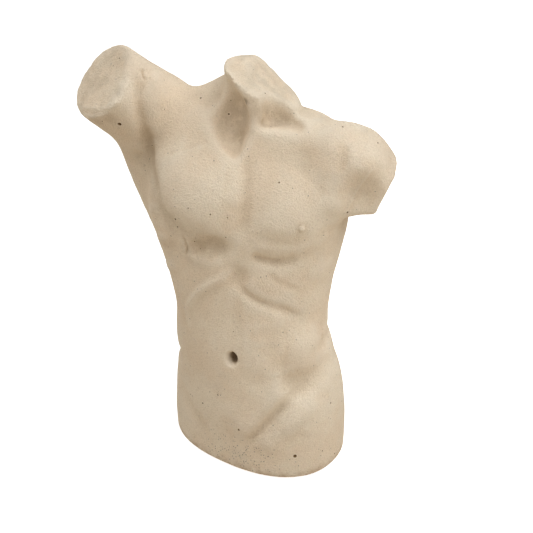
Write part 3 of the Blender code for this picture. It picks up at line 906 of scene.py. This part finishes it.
def clouds(tree, where, size_mm, low_edge, high_edge, detail=4.0, distortion=0.0):
    """A soft-edged mask of clouds of one size, 0 below the first edge and 1 above the second."""
    made = add_node(tree, "ShaderNodeTexNoise", None, {
        "Vector": where, "Scale": per_metre(size_mm), "Detail": detail, "Roughness": 0.55,
        "Distortion": distortion})
    spread = add_node(tree, "ShaderNodeMapRange", {"interpolation_type": "SMOOTHSTEP"}, {
        "Value": made.outputs["Fac"], "From Min": low_edge, "From Max": high_edge})
    return spread.outputs["Result"]


def cast_stone():
    """Cast stone, rubbed and handled: matt, warm, clouded, with sandy grain, and grime and painted shade in
    its hollows.
    """
    material = bpy.data.materials.new("cast_stone_rubbed")
    material.use_nodes = True
    tree = material.node_tree
    shader = tree.nodes["Principled BSDF"]
    where = add_node(tree, "ShaderNodeTexCoord").outputs["Object"]
    height = add_node(tree, "ShaderNodeSeparateXYZ", None, {"Vector": where}).outputs["Z"]
    hollow, crest, stain_and_shade, broken, pinhole = (
        add_node(tree, "ShaderNodeAttribute", {"attribute_name": name}).outputs["Fac"]
        for name in ("hollow", "crest", "stain_and_shade", "broken", "pinhole"))

    # the rough cut faces are mottled with grey
    mottled = add_node(tree, "ShaderNodeMath", {"operation": "MULTIPLY"}, {
        0: broken, 1: clouds(tree, where, 26, 0.4, 0.65, detail=6.0)})
    # sand grains are 0.3 mm, drawn six times as coarse so that they show
    grain = clouds(tree, where, 1.8, 0.35, 0.65, detail=2.0)

    # dirt and painted shade in hollows and in the listed places, broken up by clouds, darkest where it is
    # thickest
    shade_and_dirt_amount = add_node(tree, "ShaderNodeMath", {"operation": "MULTIPLY"}, {0: stain_and_shade, 1: 0.42})
    shade_and_dirt_amount = add_node(tree, "ShaderNodeMath", {"operation": "MULTIPLY_ADD", "use_clamp": True}, {
        0: hollow, 1: 0.20, 2: shade_and_dirt_amount.outputs[0]})
    patchy = add_node(tree, "ShaderNodeMath", {"operation": "ADD", "use_clamp": True}, {
        0: clouds(tree, where, 14, 0.3, 0.7, detail=6.0), 1: 0.55})
    dirt_and_shade = add_node(tree, "ShaderNodeMath", {"operation": "MULTIPLY"}, {
        0: shade_and_dirt_amount.outputs[0], 1: patchy.outputs[0]})
    # where the listed places pass one they turn dark: painted shade inside the navel and the throat notch,
    # with some dirt
    darkest_dirt_and_shade = add_node(tree, "ShaderNodeMath", {"operation": "SUBTRACT", "use_clamp": True}, {0: stain_and_shade, 1: 1.0})

    # pinholes, too small to cut out, are dark specks where the mask lets them be
    cells = add_node(tree, "ShaderNodeTexVoronoi", None, {"Vector": where, "Scale": per_metre(3.5)})
    luck = add_node(tree, "ShaderNodeSeparateColor", None, {"Color": cells.outputs["Color"]})
    lucky = add_node(tree, "ShaderNodeMath", {"operation": "LESS_THAN"}, {0: luck.outputs["Red"], 1: pinhole})
    speck = add_node(tree, "ShaderNodeMapRange", None, {
        "Value": cells.outputs["Distance"], "From Min": 0.3, "From Max": 0.18, "To Max": lucky.outputs[0]})

    # a brown rim runs round the foot, where the casting stood
    low_down = add_node(tree, "ShaderNodeMapRange", {"interpolation_type": "SMOOTHSTEP"}, {
        "Value": height, "From Min": 22 * MM, "From Max": 0.0, "To Max": clouds(tree, where, 12, 0.25, 0.7)})

    # each layer lies over those before it: its mask, how much of it covers at most, and its colour
    layers = (
        (clouds(tree, where, 90, 0.35, 0.65, distortion=0.6), 1.0, STONE_SAND),
        (clouds(tree, where, 34, 0.5, 0.75), 0.4, STONE_GREY),
        (mottled.outputs[0], 0.4, CUT_GREY),
        (grain, 0.16, DIRT_AND_SHADE_BROWN),
        (clouds(tree, where, 3.5, 0.6, 0.7, detail=3.0), 0.22, DIRT_AND_SHADE_BROWN),
        (dirt_and_shade.outputs[0], 1.0, DIRT_AND_SHADE_BROWN),
        (darkest_dirt_and_shade.outputs[0], 0.9, DIRT_AND_SHADE_DARK),
        (speck.outputs["Result"], 0.75, DIRT_AND_SHADE_DARK),
        (low_down.outputs["Result"], 0.85, RIM_BROWN),
        (crest, 0.18, RUBBED),
    )
    colour = srgb(STONE_PALE)
    for mask, most, tint in layers:
        cover = add_node(tree, "ShaderNodeMath", {"operation": "MULTIPLY"}, {0: mask, 1: most})
        layer = add_node(tree, "ShaderNodeMix", {"data_type": "RGBA"}, {
            0: cover.outputs[0], 6: colour, 7: srgb(tint)})
        colour = layer.outputs[2]
    tree.links.new(colour, shader.inputs["Base Color"])

    rough = add_node(tree, "ShaderNodeMapRange", None, {"Value": grain, "To Min": 0.82, "To Max": 0.95})
    tree.links.new(rough.outputs["Result"], shader.inputs["Roughness"])
    shader.inputs["Specular IOR Level"].default_value = 0.25

    # two sizes of grain stand up by about half a millimetre each
    grit = add_node(tree, "ShaderNodeMath", {"operation": "ADD"}, {
        0: grain, 1: clouds(tree, where, 3.5, 0.2, 0.8)})
    bump = add_node(tree, "ShaderNodeBump", None, {
        "Strength": 1.0, "Distance": 0.55 * MM, "Height": grit.outputs[0]})
    tree.links.new(bump.outputs["Normal"], shader.inputs["Normal"])
    return material


def pore_lining_dirt_and_shade():
    """The inside of an air hole: the same stone, dark and dull, partly grime and partly painted shade."""
    material = bpy.data.materials.new("pore_lining_dirt_and_shade")
    material.use_nodes = True
    tree = material.node_tree
    shader = tree.nodes["Principled BSDF"]
    where = add_node(tree, "ShaderNodeTexCoord").outputs["Object"]
    colour = add_node(tree, "ShaderNodeMix", {"data_type": "RGBA"}, {
        0: clouds(tree, where, 3, 0.3, 0.7), 6: srgb(DIRT_AND_SHADE_DARK), 7: srgb(DIRT_AND_SHADE_BROWN)})
    tree.links.new(colour.outputs[2], shader.inputs["Base Color"])
    shader.inputs["Roughness"].default_value = 0.95
    return material


stone = cast_stone()
pore = pore_lining_dirt_and_shade()
print("materials:", stone.name, pore.name)


# %% [markdown]
# ## Air holes
# Air that is trapped against the mould leaves round holes in the surface. Geometry Nodes scatter them:
# points are strewn on the faces with a fixed seed, thicker where the pore mask says so, a small ball sits
# on each, and the balls are cut away from the stone. The tree ends in plain geometry with its materials.

# %% Scatter and cut the pores
def pore_tree(stone, pore):
    tree = bpy.data.node_groups.new("casting_pores", "GeometryNodeTree")
    face = tree.interface
    face.new_socket("Geometry", in_out="INPUT", socket_type="NodeSocketGeometry")
    for name, kind in (("Pores per square metre", "NodeSocketFloat"), ("Smallest radius", "NodeSocketFloat"),
                       ("Largest radius", "NodeSocketFloat"), ("Seed", "NodeSocketInt")):
        face.new_socket(name, in_out="INPUT", socket_type=kind)
    face.new_socket("Geometry", in_out="OUTPUT", socket_type="NodeSocketGeometry")
    given = tree.nodes.new("NodeGroupInput").outputs
    share, single = (
        add_node(tree, "GeometryNodeInputNamedAttribute", {"data_type": "FLOAT"}, {"Name": name})
        for name in ("pore_share", "single_pore"))
    density = add_node(tree, "ShaderNodeMath", {"operation": "MULTIPLY"}, {
        0: share.outputs["Attribute"], 1: given["Pores per square metre"]})
    strewn = add_node(tree, "GeometryNodeDistributePointsOnFaces", None, {
        "Mesh": given["Geometry"], "Density": density.outputs[0], "Seed": given["Seed"]})
    size = add_node(tree, "FunctionNodeRandomValue", {"data_type": "FLOAT"}, {
        2: given["Smallest radius"], 3: given["Largest radius"], "Seed": given["Seed"]})
    ball = add_node(tree, "GeometryNodeMeshIcoSphere", None, {"Radius": 1.0, "Subdivisions": 2})
    small = add_node(tree, "GeometryNodeInstanceOnPoints", None, {
        "Points": strewn.outputs["Points"], "Instance": ball.outputs["Mesh"], "Scale": size.outputs[1]})
    chosen = add_node(tree, "FunctionNodeCompare", {"data_type": "FLOAT", "operation": "GREATER_THAN"}, {
        0: single.outputs["Attribute"], 1: 0.0})
    places = add_node(tree, "GeometryNodeMeshToPoints", None, {
        "Mesh": given["Geometry"], "Selection": chosen.outputs[0]})
    radius = add_node(tree, "ShaderNodeMath", {"operation": "MULTIPLY"}, {
        0: single.outputs["Attribute"], 1: PART})
    large = add_node(tree, "GeometryNodeInstanceOnPoints", None, {
        "Points": places.outputs["Points"], "Instance": ball.outputs["Mesh"], "Scale": radius.outputs[0]})
    both = tree.nodes.new("GeometryNodeJoinGeometry")
    tree.links.new(small.outputs["Instances"], both.inputs[0])
    tree.links.new(large.outputs["Instances"], both.inputs[0])
    balls = add_node(tree, "GeometryNodeRealizeInstances", None, {0: both.outputs[0]})
    # the balls become the walls of the holes, painted dark brown as grime and painted shade
    dirty_and_shaded = add_node(tree, "GeometryNodeSetMaterial", None, {"Geometry": balls.outputs[0], "Material": pore})
    cut_out = add_node(tree, "GeometryNodeMeshBoolean", {"operation": "DIFFERENCE", "solver": "MANIFOLD"}, {
        "Mesh 1": given["Geometry"], "Mesh 2": dirty_and_shaded.outputs[0]})
    whole = add_node(tree, "GeometryNodeRealizeInstances", None, {0: cut_out.outputs["Mesh"]})
    is_pore = add_node(tree, "GeometryNodeMaterialSelection", None, {"Material": pore})
    outside = add_node(tree, "FunctionNodeBooleanMath", {"operation": "NOT"}, {0: is_pore.outputs[0]})
    coated = add_node(tree, "GeometryNodeSetMaterial", None, {
        "Geometry": whole.outputs[0], "Selection": outside.outputs[0], "Material": stone})
    add_node(tree, "NodeGroupOutput", None, {"Geometry": coated.outputs[0]})
    return tree


def set_input(modifier, name, value):
    """A modifier's input is stored under its socket's identifier."""
    for item in modifier.node_group.interface.items_tree:
        if item.item_type == "SOCKET" and item.in_out == "INPUT" and item.name == name:
            modifier[item.identifier] = value


pores = torso.modifiers.new("casting pores", "NODES")
pores.node_group = pore_tree(stone, pore)
set_input(pores, "Pores per square metre", 700.0)
set_input(pores, "Smallest radius", 0.35 * MM)
set_input(pores, "Largest radius", 1.1 * MM)
set_input(pores, "Seed", 11)
finished = bpy.data.meshes.new_from_object(torso.evaluated_get(bpy.context.evaluated_depsgraph_get()))
torso.modifiers.clear()
torso.data = finished
finished.shade_smooth()
finished.set_sharp_from_angle(angle=math.radians(50))
print(sum(len(p.vertices) - 2 for p in finished.polygons), "triangles,",
      sum(p.material_index == 0 for p in finished.polygons), "pore faces, slots",
      [m.name for m in finished.materials if m])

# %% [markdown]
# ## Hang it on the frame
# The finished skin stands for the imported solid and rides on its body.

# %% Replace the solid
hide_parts("torso")
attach(torso, "root")
print("the skin replaces the solid")


# %% [markdown]
# ## Floor, light and camera
# Four large round lamps stand in a ring, 50 degrees up: one on the viewer's left and three on the right,
# one of them a little behind, so that the light is soft and the cuts on top are brightest. A small lamp low
# in front lifts the belly. The surround is dim above and warm and bright below, like a lit white floor, and
# fills the undersides. The floor itself glows a little, but its glow is left out of that bounce. The camera
# stands thirty degrees to the figure's left and looks down, with a long lens.

# %% Stage
CAMERA_TURN = math.radians(30)
CAMERA_AWAY = 1.400
CAMERA_HEIGHT = 0.980
AIM_ASIDE = 0.011
AIM_HEIGHT = 0.300
FRAME_PIXELS = 533
FOCAL_PIXELS = 1050
SENSOR = 36.0
FLOOR_RADIUS = 9.0
LAMP_SIZE = 2.5
LAMP_AWAY = 4.0
LAMP_RISE = math.radians(50)
PAPER_WHITE = "#f9f8f6"
LIGHT_BELOW = (0.58, 0.50, 0.39, 1.0)
LIGHT_ABOVE = (0.20, 0.195, 0.18, 1.0)

aside = Vector((math.cos(CAMERA_TURN), math.sin(CAMERA_TURN), 0))
towards = Vector((math.sin(CAMERA_TURN), -math.cos(CAMERA_TURN), 0))


def white_floor():
    shape = bmesh.new()
    bmesh.ops.create_circle(shape, cap_ends=True, segments=96, radius=FLOOR_RADIUS)
    made = bpy.data.meshes.new("floor")
    shape.to_mesh(made)
    shape.free()
    made.transform(Matrix.Translation((0, 0, -0.0004)))
    floor = bpy.data.objects.new("floor", made)
    bpy.context.scene.collection.objects.link(floor)
    paper = bpy.data.materials.new("white_paper")
    paper.use_nodes = True
    shader = paper.node_tree.nodes["Principled BSDF"]
    shader.inputs["Base Color"].default_value = srgb(PAPER_WHITE)
    shader.inputs["Roughness"].default_value = 0.9
    shader.inputs["Emission Color"].default_value = (1, 1, 1, 1)
    shader.inputs["Emission Strength"].default_value = 0.7
    made.materials.append(paper)
    floor.visible_diffuse = False


def soft_lamp(name, azimuth, watts, rise=LAMP_RISE, away=LAMP_AWAY, size=LAMP_SIZE, aim=AIM_HEIGHT):
    """A round lamp, turned so many degrees to the viewer's right from the camera's side."""
    data = bpy.data.lights.new(name, "AREA")
    data.shape = "DISK"
    data.size = size
    data.energy = watts
    lamp = bpy.data.objects.new(name, data)
    bpy.context.scene.collection.objects.link(lamp)
    turn = math.radians(azimuth)
    level = towards * math.cos(turn) + aside * math.sin(turn)
    way = level * math.cos(rise) + Vector((0, 0, math.sin(rise)))
    lamp.location = Vector((0, 0, aim)) + way * away
    lamp.rotation_euler = way.to_track_quat("Z", "Y").to_euler()


def surround():
    """Dim above, warm and bright below."""
    world = bpy.data.worlds.new("surround")
    world.use_nodes = True
    tree = world.node_tree
    way = add_node(tree, "ShaderNodeTexCoord").outputs["Generated"]
    up = add_node(tree, "ShaderNodeSeparateXYZ", None, {"Vector": way}).outputs["Z"]
    above = add_node(tree, "ShaderNodeMapRange", None, {"Value": up, "From Min": -0.1, "From Max": 0.1})
    light = add_node(tree, "ShaderNodeMix", {"data_type": "RGBA"}, {
        0: above.outputs["Result"], 6: LIGHT_BELOW, 7: LIGHT_ABOVE})
    tree.links.new(light.outputs[2], tree.nodes["Background"].inputs["Color"])
    bpy.context.scene.world = world


def photo_camera():
    data = bpy.data.cameras.new("camera")
    data.sensor_width = SENSOR
    data.lens = FOCAL_PIXELS * SENSOR / FRAME_PIXELS
    data.clip_start = 0.05
    camera = bpy.data.objects.new("camera", data)
    bpy.context.scene.collection.objects.link(camera)
    aim = aside * AIM_ASIDE + Vector((0, 0, AIM_HEIGHT))
    camera.location = aside * AIM_ASIDE + towards * CAMERA_AWAY + Vector((0, 0, CAMERA_HEIGHT))
    camera.rotation_euler = (aim - camera.location).to_track_quat("-Z", "Y").to_euler()
    bpy.context.scene.camera = camera
    return camera


white_floor()
surround()
soft_lamp("lamp at the left", -80, 64.0)
soft_lamp("lamp at the front right", 40, 49.0)
soft_lamp("lamp at the right", 80, 42.0)
soft_lamp("lamp behind the right", 120, 26.0)
soft_lamp("low lamp in front", 25, 1.1, rise=0.3, away=0.9, size=0.3, aim=0.03)
camera = photo_camera()
bpy.context.scene.view_settings.view_transform = "Standard"
print("lens", round(camera.data.lens, 1), "mm")
